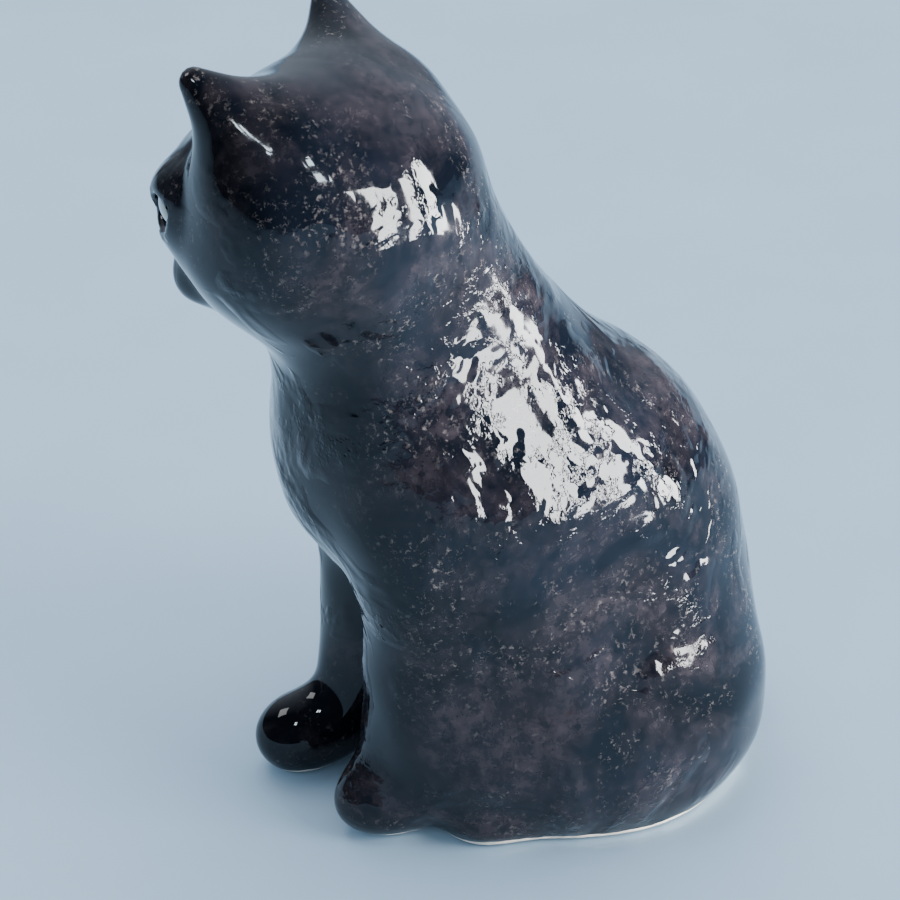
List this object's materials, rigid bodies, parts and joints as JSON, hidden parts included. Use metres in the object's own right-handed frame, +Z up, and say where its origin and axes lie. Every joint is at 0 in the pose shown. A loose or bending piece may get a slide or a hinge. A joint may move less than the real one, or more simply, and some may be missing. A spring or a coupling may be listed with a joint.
{
  "type": "ceramic cat figurine",
  "caption": "Hollow glazed ceramic cat seated upright with its head turned to one side, set with glass eyes, on a flat unglazed base.",
  "frame": {"origin": "on the surface the cat stands on, on the flat of its base, under the middle of the belly", "axes": "+Z up, -Y is the way the chest and front paws face, +X is the cat's left side"},
  "size_m": [0.1043, 0.1393, 0.1777],
  "materials": {
    "glaze": "gloss",
    "eye_glass": "polished",
    "putty": "matte"
  },
  "bodies": {
    "root": {"body_casting": "glaze", "head_casting": "glaze", "tail": "glaze", "ear_left": "glaze", "front_leg_left": "glaze", "hind_paw_left": "glaze", "eye_glass_left": "eye_glass", "eye_seat_left": "putty", "ear_right": "glaze", "front_leg_right": "glaze", "hind_paw_right": "glaze", "eye_glass_right": "eye_glass", "eye_seat_right": "putty"}
  },
  "joints": []
}
